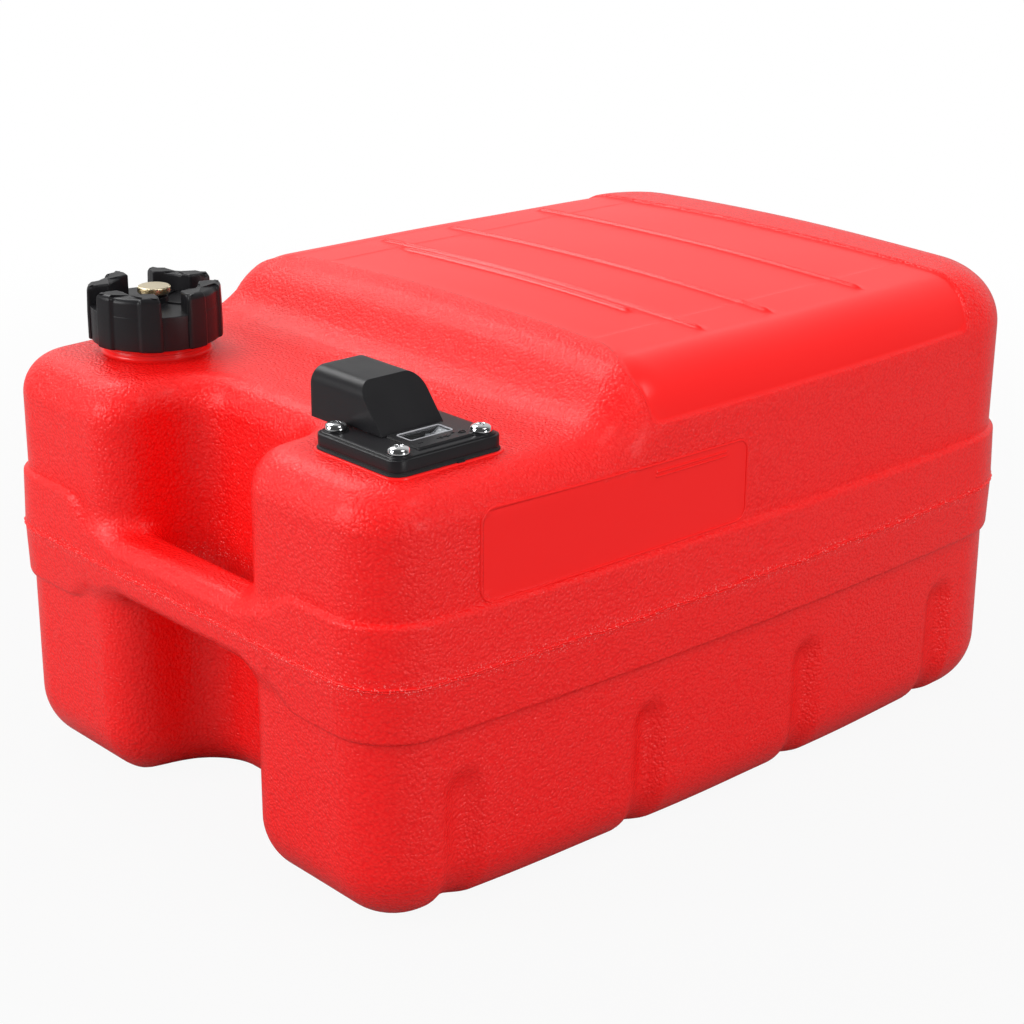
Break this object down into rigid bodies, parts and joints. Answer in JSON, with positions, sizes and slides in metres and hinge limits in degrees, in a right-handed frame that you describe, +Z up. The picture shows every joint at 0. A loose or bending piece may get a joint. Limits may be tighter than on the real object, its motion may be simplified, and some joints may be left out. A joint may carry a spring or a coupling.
{
  "type": "outboard fuel tank",
  "caption": "Portable blow-moulded fuel tank with a carry grip across a hand notch, a vented screw cap, and a pickup head with hose fitting and float level gauge.",
  "frame": {"origin": "on the ground under the middle of the tank's overall box", "axes": "+Z up, +Y from the grip end to the rear, +X to the side with the pickup head"},
  "size_m": [0.3536, 0.5, 0.269],
  "materials": {
    "red_plastic": "pebbled, with a smooth panel over the top",
    "black_plastic": "satin",
    "white_plastic": "satin",
    "rubber": "matte",
    "foam": "matte",
    "chrome": "polished",
    "steel": "satin",
    "brass": "satin",
    "aluminium": "satin",
    "clear_plastic": "polished"
  },
  "bodies": {
    "tank": {"tank_body": "red_plastic", "head_gasket": "rubber", "head_plate": "black_plastic", "head_screw_1": "chrome", "head_screw_2": "chrome", "head_screw_3": "chrome", "head_screw_4": "chrome", "thread_insert_1": "brass", "thread_insert_2": "brass", "thread_insert_3": "brass", "thread_insert_4": "brass", "gauge_hood": "black_plastic", "gauge_lens": "clear_plastic", "gauge_stem": "black_plastic", "gauge_pin": "aluminium", "fuel_fitting": "chrome", "fitting_ring": "rubber", "pickup_tube": "aluminium", "pickup_strainer": "brass"},
    "cap_carrier": {"cap_gasket": "rubber"},
    "cap": {"filler_cap": "black_plastic"},
    "vent_carrier": {"vent_seal": "rubber"},
    "vent": {"vent_screw": "brass", "vent_clip": "steel"},
    "float_lever": {"float_arm": "black_plastic", "float": "foam"},
    "dial": {"gauge_shaft": "white_plastic", "gauge_dial": "white_plastic"},
    "valve": {"fitting_valve": "brass"}
  },
  "joints": [
    {"name": "cap_lift", "type": "slide", "parent": "tank", "child": "cap_carrier", "axis": [0, 0, 1], "range_m": [0, 0.0481]},
    {"name": "cap_turn", "type": "hinge", "parent": "cap_carrier", "child": "cap", "pos_m": [-0.112, -0.1777, 0.25], "axis": [0, 0, 1], "range_deg": [0, 4320]},
    {"name": "vent_lift", "type": "slide", "parent": "cap", "child": "vent_carrier", "axis": [0, 0, 1], "range_m": [0, 0.00161]},
    {"name": "vent_turn", "type": "hinge", "parent": "vent_carrier", "child": "vent", "pos_m": [-0.112, -0.1777, 0.262], "axis": [0, 0, 1], "range_deg": [0, 720]},
    {"name": "float_swing", "type": "hinge", "parent": "tank", "child": "float_lever", "pos_m": [0.124, -0.1828, 0.118], "axis": [1, 0, 0], "range_deg": [0, 90]},
    {"name": "dial_turn", "type": "hinge", "parent": "tank", "child": "dial", "pos_m": [0.124, -0.1828, 0.13], "axis": [0, 0, 1], "range_deg": [0, 181]},
    {"name": "valve_push", "type": "slide", "parent": "tank", "child": "valve", "axis": [1, 0, 0], "range_m": [0, 0.0025], "stiffness_N_per_m": 200}
  ],
  "couplings": [
    {"joint": "cap_lift", "follows": "cap_turn", "m_per_rad": 0.00063662},
    {"joint": "vent_lift", "follows": "vent_turn", "m_per_rad": 0.00012732},
    {"joint": "dial_turn", "follows": "float_swing", "ratio": 2}
  ]
}
